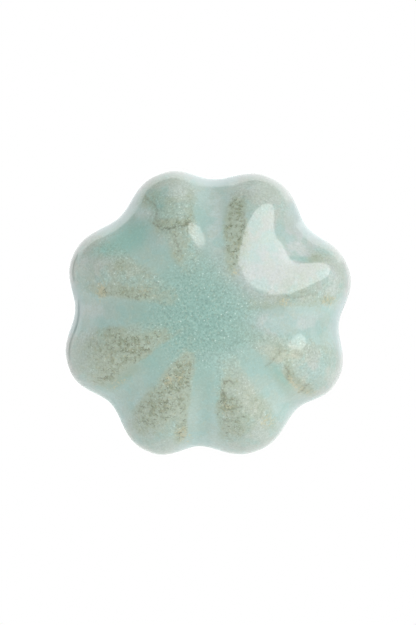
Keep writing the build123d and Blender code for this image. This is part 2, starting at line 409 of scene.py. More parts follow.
# Marks in the glaze, in mm on the face: (x, z, half length, half width, direction in degrees, strength).
# Broken brown.
STAINS = (
    # the petal at one o'clock, on its left side
    (3.9, 10.6, 5.4, 1.5, 91, 0.5), (3.2, 7.6, 1.8, 0.8, 90, 0.45), (4.4, 10.8, 1.4, 0.8, 70, 0.5),
    (4.0, 14.2, 1.2, 1.0, 90, 0.6), (6.0, 15.6, 1.6, 0.7, 15, 0.15), (2.7, 11.4, 1.6, 0.7, 90, 0.5),
    # three o'clock, along its lower side, and a little on its upper side
    (12.6, 1.6, 4.8, 1.2, 2, 0.36), (12.8, 2.6, 1.2, 0.4, 10, 0.1),
    (16.4, 1.7, 0.9, 0.7, 0, 0.35), (14.8, 7.5, 1.0, 0.6, 10, 0.4), (15.0, 7.3, 2.4, 1.3, 15, 0.2),
    (6.5, 0.7, 1.9, 1.2, 0, 0.25), (12.2, 4.2, 4.2, 1.3, 17, 0.22),
    # four o'clock, patchy
    (9.2, -5.3, 1.9, 1.2, -20, 0.35), (12.2, -5.5, 1.5, 0.6, -5, 0.15), (10.9, -7.4, 1.3, 0.6, 90, 0.4),
    (11.4, -8.8, 1.4, 0.7, -45, 0.65), (13.3, -10.4, 1.5, 0.8, -20, 0.5), (15.8, -5.0, 1.1, 0.8, 0, 0.2),
    # six o'clock, dark along its left edge
    (2.7, -12.4, 1.3, 1.0, 10, 0.85), (2.2, -11.6, 1.6, 0.5, 95, 0.7), (3.0, -9.4, 0.9, 0.7, 0, 0.6),
    (3.6, -14.9, 1.9, 1.5, 0, 0.5), (4.6, -12.4, 3.8, 2.2, 100, 0.35), (3.2, -16.7, 2.0, 1.2, 0, 0.3),
    (8.0, -13.6, 2.8, 1.3, 115, 0.34), (2.2, -7.6, 1.6, 0.8, 90, 0.25), (1.2, -14.0, 1.4, 0.6, 90, 0.5),
    # seven o'clock
    (-5.3, -9.4, 1.2, 0.9, 80, 0.85), (-3.6, -10.8, 2.8, 1.2, 88, 0.55), (-6.1, -13.2, 1.4, 1.2, 0, 0.6),
    (-8.3, -13.0, 1.8, 1.5, 20, 0.5), (-3.5, -16.0, 1.6, 0.8, 70, 0.8), (-5.8, -12.6, 4.3, 3.0, 70, 0.42),
    (-8.6, -15.2, 2.0, 1.2, 20, 0.3), (-3.6, -7.9, 2.4, 1.3, 64, 0.9), (-6.7, -11.4, 1.5, 0.9, 60, 0.6),
    # eight o'clock
    (-10.2, -4.5, 1.8, 1.4, 0, 0.75), (-8.5, -5.6, 1.2, 1.0, 0, 0.7), (-12.6, -4.8, 2.6, 2.3, 0, 0.55),
    (-11.2, -6.7, 3.0, 1.5, 15, 0.5), (-13.5, -9.0, 1.8, 1.0, 12, 0.65), (-12.9, -2.7, 1.8, 0.8, 0, 0.45),
    (-15.7, -5.0, 1.3, 1.6, 0, 0.35), (-7.3, -3.5, 1.7, 1.4, 0, 0.55), (-14.6, -7.6, 2.4, 1.5, 20, 0.35),
    (-5.0, -3.0, 2.4, 1.1, 0, 0.3),
    # ten o'clock
    (-14.3, 2.8, 0.9, 0.6, 90, 0.8), (-11.8, 2.7, 2.4, 0.9, 0, 0.50), (-8.8, 2.6, 1.8, 1.2, 0, 0.45),
    (-11.8, 6.4, 1.0, 0.9, 0, 0.4), (-14.0, 8.6, 2.6, 1.2, 20, 0.2), (-8.0, 5.0, 2.4, 1.6, 0, 0.12),
    (-16.0, 3.0, 1.2, 1.6, 0, 0.3), (-5.5, 2.0, 1.8, 1.4, 0, 0.3), (-11.8, 4.6, 4.2, 2.4, 0, 0.25),
    # eleven o'clock
    (-5.3, 12.2, 2.4, 0.6, 0, 0.5), (-2.5, 12.3, 1.2, 0.7, 90, 0.6), (-3.8, 9.9, 2.3, 1.4, 95, 0.42),
    (-8.2, 15.5, 1.5, 1.0, 30, 0.4), (-5.0, 15.0, 1.3, 0.9, 0, 0.25), (-2.2, 15.6, 2.0, 0.7, 90, 0.35),
    (-4.9, 14.3, 4.2, 2.1, 0, 0.12), (-6.4, 11.1, 1.4, 0.6, 0, 0.4), (-4.0, 7.2, 2.0, 1.1, 0, 0.3),
)
# Warm ochre grains.
OCHRE = (
    (-14.4, 2.8, 1.1, 0.7, 90, 1.0), (-5.2, -9.2, 0.9, 0.5, 60, 0.9), (-4.2, -8.8, 0.8, 0.4, 0, 0.7),
    (-3.4, -16.4, 0.9, 0.8, 20, 0.8), (-12.4, -9.6, 1.5, 0.6, 20, 0.6), (16.4, 1.7, 0.9, 0.7, 0, 0.8),
    (10.4, 1.4, 0.8, 0.5, 0, 0.8), (11.2, -9.2, 0.9, 0.5, -40, 0.8), (13.0, -10.6, 1.3, 0.5, -25, 0.7),
    (2.5, -12.9, 0.7, 1.0, 0, 0.6), (8.2, -14.8, 0.9, 0.7, 0, 0.7), (3.7, 5.3, 0.5, 0.5, 0, 0.6),
    (-8.9, 3.0, 0.5, 0.5, 0, 0.5), (-3.0, -17.4, 0.5, 0.4, 0, 0.6),
)
# Clear teal pools.
TEAL = (
    (-10.4, 10.2, 3.2, 1.8, 34, 0.95), (-12.6, 9.2, 3.2, 1.0, 24, 0.6), (-5.4, 13.6, 1.6, 1.8, 0, 0.4),
    (10.2, -8.8, 1.7, 0.5, -50, 0.8), (1.6, -12.6, 3.4, 0.5, 92, 0.5), (2.4, 12.6, 3.2, 0.5, 92, 0.15),
    (12.8, 7.3, 1.6, 0.4, -8, 0.8), (9.6, 10.6, 1.6, 0.4, -65, 0.1), (-7.4, 15.6, 1.2, 0.7, 35, 0.6),
    (-13.8, 8.9, 2.2, 0.5, 24, 0.5),
)
# Milky grey, with less grain: partly milky glaze, partly painted highlight and sheen over the softbox's
# highlight and along the left rim.
HAZE_AND_SHEEN = (
    (-8.7, 13.8, 1.9, 1.2, 120, 0.5), (-7.4, 10.3, 1.7, 1.0, 140, 0.5), (-15.2, 6.4, 2.6, 2.2, 60, 0.4),
    (-16.4, -2.6, 1.4, 2.6, 10, 0.15), (8.6, -5.6, 1.7, 1.4, -30, 0.35), (14.4, -7.6, 2.6, 2.0, -30, 0.5),
    (5.6, -11.0, 2.4, 1.8, -60, 0.3), (-1.2, 9.4, 0.8, 1.0, 30, 0.4), (-4.6, -17.6, 3.4, 1.0, 0, 0.3),
    (-15.9, 0.4, 2.2, 1.1, 0, 0.5), (-16.4, 6.4, 2.2, 1.6, 110, 0.5), (9.9, 10.3, 1.4, 1.0, 40, 0.6),
    (9.5, -1.6, 3.2, 1.4, -8, 1.0), (14.5, -1.3, 3.2, 1.1, 0, 0.6), (11.8, 8.9, 3.6, 1.7, 40, 0.9),
    (6.6, 6.4, 5.2, 3.2, -45, 0.9),
)
# Painted shade: darker teal on the left and lower side of the face, away from the softbox.
PAINTED_SHADE = (
    (-3.6, -2.4, 6.4, 5.2, 35, 0.85), (-3.4, 3.4, 3.6, 2.6, 0, 0.5), (-6.2, -5.8, 3.0, 1.8, 43, 0.7),
    (-0.5, -8.4, 2.6, 1.5, 90, 0.5), (-8.8, 0.2, 3.0, 1.4, 0, 0.4), (-6.3, 15.2, 1.4, 1.0, 60, 0.8),
    (-3.3, -7.2, 2.8, 1.6, 64, 0.75), (-6.8, -10.6, 2.0, 1.2, 60, 0.4), (-7.2, -16.0, 3.6, 2.0, -24, 0.35),
    (-12.0, -11.6, 2.4, 1.8, -45, 0.3), (-16.6, -6.0, 1.6, 2.4, 0, 0.2), (-0.2, -13.0, 3.6, 0.9, 90, 0.45),
)
# Painted highlight: smooth and grey, almost without grain, where the softbox's highlight falls, so that it
# looks milky.
CALM_UNDER_HIGHLIGHT = (
    (7.6, 8.6, 7.6, 4.6, -50, 1.0), (10.6, 10.0, 4.5, 3.4, -45, 0.9), (14.5, 5.6, 3.0, 1.6, 0, 0.9),
)
# Whitish patches.
PALE = (
    (12.0, 8.2, 1.8, 1.0, 38, 0.55), (10.5, 9.6, 1.2, 1.0, 40, 0.3), (16.6, 4.6, 1.4, 1.0, 100, 0.4),
    (10.0, -1.5, 2.4, 1.1, -5, 0.42), (13.6, -1.3, 2.0, 0.9, 0, 0.1), (12.6, 9.6, 1.4, 0.7, 40, 0.3),
    (0.9, 13.4, 4.6, 1.0, 88, 0.25), (4.2, 17.3, 3.2, 0.6, -5, 0.3), (-4.2, 16.0, 2.4, 1.4, 0, 0.15),
    (-14.5, 0.2, 2.8, 1.0, 0, 0.1),
)
# Olive green beside the stains.
OLIVE = (
    (-10.8, -8.0, 3.8, 0.9, 38, 0.8), (9.0, -7.8, 2.6, 0.9, -50, 0.5), (10.7, -10.3, 1.4, 0.9, -45, 0.3),
    (2.6, 10.0, 3.4, 0.5, 90, 0.3), (-15.6, -10.4, 1.4, 0.7, 35, 0.4),
)
# Soft smooth tan.
TAN = (
    (10.6, -5.8, 2.4, 0.9, -8, 0.7), (11.0, -7.8, 1.6, 0.9, -75, 0.7), (12.8, -9.9, 1.9, 1.1, -30, 0.8),
    (6.4, -12.0, 2.6, 1.5, -50, 0.3),
)
# Dark hairlines where the glaze has crawled: (strength, points in mm on the face).
VEINS = (
    (1.0, ((-7.4, 12.2), (-6.4, 11.5), (-5.2, 11.4), (-4.2, 11.6), (-3.2, 11.8), (-2.4, 12.4))),
    (0.6, ((-5.3, 11.3), (-4.6, 10.2), (-3.9, 8.9), (-3.6, 8.2))),
    (0.6, ((-8.6, 15.7), (-7.4, 14.9), (-6.9, 13.8), (-7.1, 12.7), (-6.3, 11.6))),
    (0.8, ((7.9, -7.3), (8.8, -6.4), (9.6, -5.6), (9.9, -4.9))),
    (0.7, ((10.5, -7.2), (10.9, -8.0), (10.7, -8.8), (11.1, -9.3))),
    (0.9, ((12.4, -10.8), (13.0, -10.5), (13.3, -9.9), (13.9, -9.6))),
    (0.7, ((1.9, -10.3), (2.3, -11.2), (2.1, -12.3))),
    (0.7, ((2.3, -13.2), (3.4, -13.0), (4.6, -12.7))),
    (0.6, ((1.9, -14.4), (2.8, -14.8), (3.6, -14.5))),
    (0.8, ((2.2, -9.5), (2.9, -9.1), (3.5, -9.6))),
    (0.6, ((3.0, 14.6), (3.9, 14.0), (4.8, 14.5))),
    (0.5, ((4.9, 13.6), (5.0, 12.2), (4.7, 11.0))),
    (0.5, ((10.4, 2.3), (12.0, 2.0), (13.4, 2.4), (15.0, 2.7))),
    (0.5, ((-7.2, -12.0), (-6.3, -12.3), (-5.7, -13.0), (-6.2, -13.4))),
    (0.5, ((-4.0, -10.4), (-3.6, -11.4), (-3.8, -12.3))),
)
VEIN_WIDTH = 0.13
BLOB_FALL, BLOB_FLATNESS = 0.7, 1.5  # how fast a mark fades at its edge and how flat its middle is
# The rim's band is partly a painted reflection, weaker towards the bottom.
RIM_LEVEL, RIM_SPAN = -9, 3  # the rim's band is fainter below this height on the face
RIM_MIDDLE, RIM_SWING = 0.62, 0.38
BACK_DEPTH = 4  # how far behind the widest section the back's own glaze has wholly taken over


def blobs(x, z, table):
    """How strongly flat-topped soft ellipses cover each point, from 0 to 1."""
    clear = np.ones_like(x)
    for centre_x, centre_z, length, width, direction, strength in table:
        turn = radians(direction)
        along = (x - centre_x) * cos(turn) + (z - centre_z) * sin(turn)
        across = (z - centre_z) * cos(turn) - (x - centre_x) * sin(turn)
        distance = (along / length) ** 2 + (across / width) ** 2
        clear *= 1 - strength * np.exp(-BLOB_FALL * distance**BLOB_FLATNESS)
    return 1 - clear


def veins(x, z):
    """How strongly the hairlines cover each point, from 0 to 1."""
    total = np.zeros_like(x)
    for strength, points in VEINS:
        for (start_x, start_z), (end_x, end_z) in zip(points, points[1:]):
            step_x, step_z = end_x - start_x, end_z - start_z
            share = ((x - start_x) * step_x + (z - start_z) * step_z) / (step_x**2 + step_z**2)
            share = np.clip(share, 0, 1)
            distance = np.hypot(x - start_x - share * step_x, z - start_z - share * step_z)
            total = np.maximum(total, strength * np.exp(-((distance / VEIN_WIDTH) ** 2)))
    return total


def paint_fields(piece):
    """Stores the smooth fields that the glaze's shader works from, as attributes of the head's mesh."""
    mesh = piece.data
    places = np.zeros(len(mesh.vertices) * 3, np.float32)
    mesh.vertices.foreach_get("co", places)
    x, y, z = places.reshape(-1, 3).T / MM
    height = -y
    groove = np.array([petal_wave(angle)[1] for angle in np.degrees(np.arctan2(z, x))])
    front = np.where(height > EQUATOR, 1.0, 0.0)
    fields = {
        "groove": groove,
        "reach": np.clip(np.hypot(x, z) / MEAN_RADIUS, 0, 1.1),
        "stain": blobs(x, z, STAINS) * front,
        "ochre": blobs(x, z, OCHRE) * front,
        "teal": blobs(x, z, TEAL) * front,
        "haze_and_sheen": blobs(x, z, HAZE_AND_SHEEN) * front,
        "painted_shade": blobs(x, z, PAINTED_SHADE) * front,
        # calm: the grey, grain-free patch of painted highlight.
        "calm": blobs(x, z, CALM_UNDER_HIGHLIGHT) * front,
        "pale": blobs(x, z, PALE) * front,
        "olive": blobs(x, z, OLIVE) * front,
        "tan": blobs(x, z, TAN) * front,
        # rim: how strong the rim's band is, partly a painted reflection.
        "rim": RIM_MIDDLE + RIM_SWING * np.tanh((z - RIM_LEVEL) / RIM_SPAN),
        "veins": veins(x, z) * front,
        "back": np.clip((EQUATOR - height) / BACK_DEPTH, 0, 1),
        "height": height,
    }
    for name, values in fields.items():
        attribute = mesh.attributes.new(name, "FLOAT", "POINT")
        attribute.data.foreach_set("value", values.astype(np.float32))


# Glaze colours. The first two change from the middle (0) to the rim (1).
CLEAR_COLOURS = ((0.05, (0.178, 0.288, 0.256)), (0.30, (0.190, 0.287, 0.253)), (0.50, (0.203, 0.300, 0.268)),
                 (0.70, (0.237, 0.332, 0.305)), (0.90, (0.270, 0.352, 0.328)))
RIDGE_COLOURS = ((0.05, (0.178, 0.288, 0.256)), (0.30, (0.193, 0.287, 0.250)), (0.50, (0.235, 0.296, 0.250)),
                 (0.70, (0.254, 0.304, 0.256)), (0.90, (0.266, 0.314, 0.279)))
# Milky grey, partly a painted sheen.
HAZE_AND_SHEEN_COLOUR = (0.292, 0.326, 0.312)
# A grey painted under the softbox's highlight.
HIGHLIGHT_GREY_COLOUR = (0.270, 0.286, 0.280)
PALE_COLOUR = (0.42, 0.46, 0.46)
OLIVE_COLOUR = (0.178, 0.238, 0.175)
TAN_COLOUR = (0.335, 0.345, 0.262)
POOLED_COLOUR = (0.200, 0.310, 0.283)
PATCH_COLOUR = (0.262, 0.302, 0.255)
TEAL_COLOUR = (0.160, 0.298, 0.260)
# Painted shade.
PAINTED_SHADE_COLOUR = (0.140, 0.252, 0.218)
STAIN_COLOUR = (0.226, 0.271, 0.212)
BROWN_COLOUR = (0.143, 0.172, 0.112)
OCHRE_COLOUR = (0.320, 0.310, 0.205)
STROKE_COLOUR = (0.088, 0.102, 0.064)
VEIN_COLOUR = (0.095, 0.105, 0.070)
BACK_COLOURS = ((0.262, 0.325, 0.272), (0.228, 0.296, 0.240))
RUN_COLOUR = (0.205, 0.315, 0.280)
DARK_DOT_COLOUR = (0.095, 0.150, 0.128)
WHITE_DOT_COLOUR = (0.42, 0.50, 0.45)
# The rim's band, partly a painted reflection.
RIM_COLOURS = ((0.290, 0.308, 0.298), (0.268, 0.322, 0.322))  # on the petals, in the grooves
NECK_LINE_COLOUR = (0.175, 0.135, 0.080)
CLAY_COLOURS = ((0.50, 0.42, 0.32), (0.68, 0.60, 0.49))
GLAZE_ROUGHNESS, CLAY_ROUGHNESS = 0.085, 0.8


class Glaze(Shader):
    """The head's material, built up in layers: each layer takes the colour so far and returns the next."""

    def __init__(self, name):
        super().__init__(name)
        self.reach, self.groove = self.field("reach"), self.field("groove")
        self.torn, self.mottle, self.grain = (self.noise(scale, 3, roughness)
                                              for scale, roughness in ((0.8, 0.6), (1.5, 0.65), (2.8, 0.65)))
        self.aside = self.vector("ADD", self.place, (7, 3, 5))

    def ragged(self, value, noise, down, up):
        """A value made uneven by a noise, which lowers it by down at most and raises it by up."""
        return self.math("ADD", value, self.ramp(noise, 0.3, 0.7, -down, up))

    def times(self, first, second):
        return self.math("MULTIPLY", first, second)

    def clear_glaze(self):
        """Deep and teal in the middle, thinner and paler to the rim, in the grooves and on the ridges."""
        self.in_groove = self.ramp(self.ragged(self.groove, self.torn, 0.16, 0.16), 0.30, 0.74)
        ridge, clear = self.steps(self.reach, RIDGE_COLOURS), self.steps(self.reach, CLEAR_COLOURS)
        body = self.mix(self.in_groove, ridge, clear)
        # Milky glaze and painted sheen over the colour so far.
        haze_and_sheen = self.times(self.field("haze_and_sheen"), self.ramp(self.torn, 0.3, 0.6, 0.65, 1.0))
        body = self.mix(haze_and_sheen, body, HAZE_AND_SHEEN_COLOUR)
        # Painted highlight: grey under the softbox's highlight.
        body = self.mix(self.times(self.field("calm"), 0.6), body, HIGHLIGHT_GREY_COLOUR)
        body = self.mix(self.field("pale"), body, PALE_COLOUR)
        body = self.mix(self.field("olive"), body, OLIVE_COLOUR)
        body = self.mix(self.field("tan"), body, TAN_COLOUR)
        pools = self.ramp(self.noise(0.33, 3, 0.55), 0.46, 0.62)
        pooled = self.times(pools, self.ramp(self.reach, 0.2, 0.5, 0.2, 0.6))
        body = self.mix(pooled, body, POOLED_COLOUR)
        patches = self.noise(0.45, 2, 0.55, place=self.vector("ADD", self.place, (2, 9, 4)))
        patch = self.times(self.ramp(patches, 0.48, 0.54), self.ramp(self.reach, 0.3, 0.55, 0.0, 0.30))
        body = self.mix(patch, body, PATCH_COLOUR)
        body = self.mix(self.times(self.field("teal"), 0.8), body, TEAL_COLOUR)
        # Painted shade on the left and lower side of the face.
        return self.mix(self.times(self.field("painted_shade"), 0.55), body, PAINTED_SHADE_COLOUR)

    def broken_brown(self, body):
        """A soft olive tint round each stain, with darker patches, ochre grains and dark strokes in it."""
        on_petals = self.ramp(self.ragged(self.groove, self.grain, 0.1, 0.1), 0.86, 0.62)
        stain = self.times(self.field("stain"), on_petals)
        self.tint = self.ramp(self.ragged(stain, self.torn, 0.15, 0.15), 0.05, 0.60)
        body = self.mix(self.times(self.tint, 0.8), body, STAIN_COLOUR)
        patchy = self.math("ADD", stain, self.ramp(self.mottle, 0.35, 0.65, -0.35, 0.25))
        brown = self.ramp(self.ragged(patchy, self.grain, 0.15, 0.15), 0.40, 1.10)
        body = self.mix(self.times(brown, 0.85), body, BROWN_COLOUR)
        warm = self.math("ADD", self.field("ochre"), self.times(stain, 0.18))
        ochre = self.ramp(self.math("ADD", warm, self.ramp(self.grain, 0.35, 0.65, -1.0, 0.4)), 0.15, 0.9)
        body = self.mix(self.times(ochre, 0.65), body, OCHRE_COLOUR)
        wander = self.math("ABSOLUTE", self.math("SUBTRACT", self.noise(1.2, 2, 0.55), 0.5))
        broken = self.ramp(self.noise(1.6, 2, 0.5, place=self.aside), 0.48, 0.56)
        stroke = self.times(self.ramp(wander, 0.040, 0.014), broken)
        body = self.mix(self.times(stroke, self.ramp(stain, 0.1, 0.8, 0.05, 0.70)), body, STROKE_COLOUR)
        vein = self.times(self.field("veins"), self.ramp(self.noise(1.8, 3, 0.7), 0.36, 0.52, 0.15, 1.0))
        return self.mix(self.times(vein, 0.75), body, VEIN_COLOUR)

    def behind_head(self, body):
        """The back of the head: the same glaze, thinner and greener, with faint clear runs in its grooves."""
        runs = self.ramp(self.ragged(self.groove, self.noise(0.35, 2), 0.2, 0.2), 0.5, 0.95)
        behind = self.mix(self.ramp(self.noise(0.5, 3, 0.6), 0.42, 0.6), *BACK_COLOURS)
        behind = self.mix(self.times(runs, 0.8), behind, RUN_COLOUR)
        return self.mix(self.times(self.field("back"), 0.9), body, behind)

    def grain_and_dots(self, body):
        """Fine grain, coarser on the petals and calm in the grooves, in the paler places and at the rim; the
        paler places include the painted sheen and the grey painted under the softbox's highlight.
        """
        pool = self.times(self.in_groove, self.ramp(self.reach, 0.25, 0.5))
        calm = self.math("MAXIMUM", pool, self.ramp(self.reach, 0.82, 0.95, 0.0, 0.7))
        paler = self.times(self.math("MAXIMUM", self.field("haze_and_sheen"), self.field("calm")), 0.95)
        calm = self.math("MAXIMUM", calm, paler)
        fine = self.math("SUBTRACT", self.noise(3.4, 3, 0.75), 0.5)
        strength = self.mix(calm, self.mix(self.tint, (1.3,) * 3, (0.9,) * 3), (0.36,) * 3)
        body = self.vector("MULTIPLY", body, self.grey(self.math("ADD", self.times(fine, strength), 0.952)))
        small = self.ramp(self.cells(2.0, place=self.aside), 0.26, 0.10, 0.0, 0.30)
        white_dots = self.math("MAXIMUM", self.ramp(self.cells(1.1), 0.15, 0.05, 0.0, 0.65), small)
        dark_dots = self.ramp(self.cells(1.5), 0.20, 0.08, 0.0, 0.45)
        lively = self.times(self.ramp(calm, 0.0, 1.0, 1.0, 0.25), self.ramp(self.tint, 0.2, 0.9, 1.0, 0.6))
        body = self.mix(self.times(dark_dots, lively), body, DARK_DOT_COLOUR)
        return self.mix(self.times(white_dots, lively), body, WHITE_DOT_COLOUR)

    def thin_rim_and_sheen(self, body):
        """The rim's pale grey pink band: glaze run thin there, with a painted reflection that is weaker
        towards the bottom.
        """
        front = self.ramp(self.field("height"), EQUATOR + 3.4, EQUATOR + 1.6)
        rim = self.times(front, self.ramp(self.field("back"), 0.1, 0.4, 1.0, 0.0))
        share = self.times(rim, self.times(self.field("rim"), 0.85))
        return self.mix(share, body, self.mix(self.in_groove, *RIM_COLOURS))

    def neck_and_foot(self, body):
        """The neck, where the glaze thins to a brown line above the bare stoneware foot."""
        height = self.ragged(self.field("height"), self.noise(0.22, 2), 0.25, 0.25)
        line = self.ramp(self.ragged(height, self.grain, 0.25, 0.25), 7.3, 6.3, 0.0, 0.85)
        body = self.mix(line, body, NECK_LINE_COLOUR)
        self.bare = self.ramp(height, GLAZE_END - 0.05, GLAZE_END - 0.2)
        return self.mix(self.bare, body, self.mix(self.noise(6, 3, 0.7), *CLAY_COLOURS))


def glaze_material():
    shader = Glaze("broken_celadon_glaze")
    body = shader.clear_glaze()
    for layer in (shader.broken_brown, shader.behind_head, shader.grain_and_dots, shader.thin_rim_and_sheen,
                  shader.neck_and_foot):
        body = layer(body)
    roughness = shader.mix(shader.bare, (GLAZE_ROUGHNESS,) * 3, (CLAY_ROUGHNESS,) * 3)
    shader.set(Base_Color=body, Roughness=roughness, IOR=1.52,
               Subsurface_Weight=0.12, Subsurface_Radius=(0.6, 1.0, 0.9), Subsurface_Scale=0.8 * MM)
    orange_peel = shader.math("ADD", shader.noise(0.8, 1, 0.4), shader.times(shader.noise(4.0, 2), 0.06))
    shader.bump(orange_peel, 0.012)
    return shader.material


head = glazed_head()
paint_fields(head)
finish_piece(head, "knob", "ceramic_head", glaze_material())

# ---------------------------------------------------------------- metal, rubber and cement materials


def brushed_metal(name, low, high, roughness, grain_scale, spin=True):
    """Turned metal: fine rings round the axis, scuffs, and a little colour variation."""
    shader = Shader(name)
    parts = shader.tree.nodes.new("ShaderNodeSeparateXYZ")
    shader.feed(parts.inputs[0], shader.place)
    flat = shader.tree.nodes.new("ShaderNodeCombineXYZ")
    shader.feed(flat.inputs[0], parts.outputs[0])
    shader.feed(flat.inputs[2], parts.outputs[2])
    rings = shader.tree.nodes.new("ShaderNodeCombineXYZ")
    shader.feed(rings.inputs[0], shader.vector("LENGTH", flat.outputs[0]))
    shader.feed(rings.inputs[1], parts.outputs[1])
    turned = shader.noise(grain_scale, 2, 0.6, place=rings.outputs[0] if spin else None)
    scuffs = shader.noise(1.3, 4, 0.65)
    wear = shader.math("ADD", turned, shader.math("MULTIPLY", scuffs, 0.6))
    shader.set(Base_Color=shader.mix(shader.ramp(scuffs, 0.3, 0.75), low, high), Metallic=1.0,
               Roughness=shader.ramp(wear, 0.4, 1.1, roughness - 0.06, roughness + 0.12))
    shader.bump(turned, 0.004)
    return shader.material


def rubber_material():
    shader = Shader("black_rubber")
    mottling = shader.noise(2.5, 4, 0.6)
    shader.set(Base_Color=shader.mix(mottling, (0.014, 0.014, 0.015), (0.034, 0.033, 0.032)),
               Roughness=shader.ramp(mottling, 0.3, 0.7, 0.55, 0.75))
    shader.bump(shader.noise(9, 2), 0.008)
    return shader.material


def cement_material():
    shader = Shader("setting_cement")
    sand = shader.noise(5, 4, 0.7)
    shader.set(Base_Color=shader.mix(sand, (0.40, 0.38, 0.34), (0.66, 0.64, 0.59)), Roughness=0.9)
    shader.bump(shader.math("ADD", sand, shader.math("MULTIPLY", shader.cells(2.2), 0.4)), 0.05)
    return shader.material


ZINC_COLOURS = ((0.29, 0.305, 0.315), (0.40, 0.415, 0.43))
ferrule_brass = brushed_metal("antique_brass", (0.40, 0.262, 0.100), (0.52, 0.355, 0.145), 0.26, 9)
insert_brass = brushed_metal("plain_brass", (0.60, 0.42, 0.15), (0.74, 0.55, 0.24), 0.34, 5)
zinc = brushed_metal("zinc_plated_steel", *ZINC_COLOURS, 0.28, 6, spin=False)
turned_zinc = brushed_metal("zinc_plated_washer", *ZINC_COLOURS, 0.3, 8)

# ---------------------------------------------------------------- hardware


def stud_radius(height, turn):
    """The stud's skin: thread at both ends, which runs out at the plain shank, and an end chamfer."""
    fade = min(max((-SHANK_LENGTH - height) / PITCH, 0), 1) if height < -1 else min(max(height / PITCH, 0), 1)
    radius = CREST_RADIUS + (thread_radius(height, turn) - CREST_RADIUS) * fade
    end = min(height - STUD_TAIL, STUD_TIP - height)
    return min(radius, ROOT_RADIUS - TIP_INSET + end)


def threaded_stud():
    angles = around(72)
    columns = []
    for angle in angles:
        turn = angle / 360
        rear = thread_rows(turn, STUD_TAIL, -SHANK_LENGTH, stud_radius)
        front = thread_rows(turn, 0, STUD_TIP, stud_radius)
        columns.append([(0, STUD_TAIL)] + rear + front + [(0, STUD_TIP)])
    return mesh_from_columns("threaded_stud", columns, angles, sharp=50)


def nut_bore(turn, back, front):
    """Up a tapped bore, with a countersink at each mouth."""

    def bore_radius(height, turn):
        mouth = CREST_RADIUS + COUNTERSINK - min(height - back, front - height)
        return max(thread_radius(height, turn) + INTERNAL_GAP, mouth)

    return thread_rows(turn, back, front, bore_radius)


def hex_nut(name, back, front):
    """A chamfered hexagonal nut with its thread in phase with the stud's."""
    half_flat = ACROSS_FLATS / 2
    face_radius, slope = half_flat * 0.95, tan(radians(30))
    angles = around(96)
    columns = []
    for angle in angles:
        across = radians(angle % 60 - 30)
        side = half_flat / cos(across)
        side = min(side, half_flat / cos(pi / 6) * 0.985)
        drop = (side - face_radius) * slope
        outside = [(face_radius, front), (side - 0.04, front - drop + 0.02), (side, front - drop - 0.05),
                   (side, back + drop + 0.05), (side - 0.04, back + drop - 0.02), (face_radius, back)]
        column = nut_bore(angle / 360, back, front) + outside
        columns.append(column + column[:1])
    return mesh_from_columns(name, columns, angles, sharp=30)


def flat_washer():
    """A stamped washer: rolled edge on one face, a sharper edge on the other."""
    outline = rounded(
        [(CLEARANCE_RADIUS, WASHER_BACK), (WASHER_RADIUS, WASHER_BACK), (WASHER_RADIUS, WASHER_FRONT),
         (CLEARANCE_RADIUS, WASHER_FRONT)],
        [0.06, 0.08, 0.22, 0.15],
    )
    return lathe("flat_washer", outline, 144)


def rubber_gasket():
    outline = rounded(
        [(CLEARANCE_RADIUS, GASKET_BACK), (GASKET_RADIUS, GASKET_BACK), (GASKET_RADIUS, GASKET_FRONT),
         (CLEARANCE_RADIUS, GASKET_FRONT)],
        0.12,
    )
    return lathe("rubber_gasket", outline, 128)


def brass_ferrule():
    """A turned ferrule: foot flange, hollow sweep up to the lip round the neck, recess for the thin nut."""
    edge, recess_depth = 1.3, 2.7
    lip_radius, recess_radius, top_radius = 6.8, 4.7, 7.6
    shelf = GASKET_BACK
    sweep_start, sweep_end = Vector((FERRULE_RADIUS, edge)), Vector((top_radius, FERRULE_FRONT))
    first, second = sweep_start + Vector((-1.55, 0.55)), sweep_end + Vector((0.15, -1.7))
    sweep = []
    for step in range(1, 24):
        t = step / 24
        near_start = sweep_start * (1 - t) ** 3 + first * 3 * t * (1 - t) ** 2
        sweep.append(tuple(near_start + second * 3 * t**2 * (1 - t) + sweep_end * t**3))
    foot = rounded([(recess_radius, 0), (FERRULE_RADIUS, 0), (FERRULE_RADIUS, edge), sweep[0]],
                   [0.12, 0.25, 0.25, 0])[:-1]
    head = rounded(
        [sweep[-1], (top_radius, FERRULE_FRONT), (lip_radius, FERRULE_FRONT), (lip_radius, shelf),
         (CLEARANCE_RADIUS, shelf), (CLEARANCE_RADIUS, recess_depth), (recess_radius, recess_depth)],
        [0, 0.3, 0.25, 0.05, 0.08, 0.08, 0.05],
    )[1:]
    return lathe("brass_ferrule", foot + sweep + head, 192, sharp=40)


finish_piece(threaded_stud(), "knob", "stud", zinc)
finish_piece(brass_ferrule(), "knob", "base_ferrule", ferrule_brass)
finish_piece(rubber_gasket(), "knob", "gasket", rubber_material())
finish_piece(hex_nut("thin_nut", LOCK_BACK, LOCK_FRONT), "knob", "retaining_nut", zinc)
finish_piece(flat_washer(), "washer", "washer", turned_zinc)
finish_piece(hex_nut("hex_nut", NUT_BACK, NUT_FRONT), "nut", "mounting_nut", zinc)

for node, material in (("threaded_insert", insert_brass), ("anchor_cement", cement_material())):
    cad_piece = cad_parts[node]
    cad_piece.data.materials.clear()
    cad_piece.data.materials.append(material)

# ---------------------------------------------------------------- studio
HEAD_CENTRE = Vector((0, -EQUATOR * MM, 0))
KEY_DIRECTION = (0.595, -0.672, 0.442)  # from the head to the softbox
KEY_DISTANCE = 1.2
KEY_WIDTH, KEY_LENGTH = KEY_DISTANCE * 1.14, KEY_DISTANCE * 0.944
KEY_SPIN = -3.5
KEY_RADIANCE = 4.0

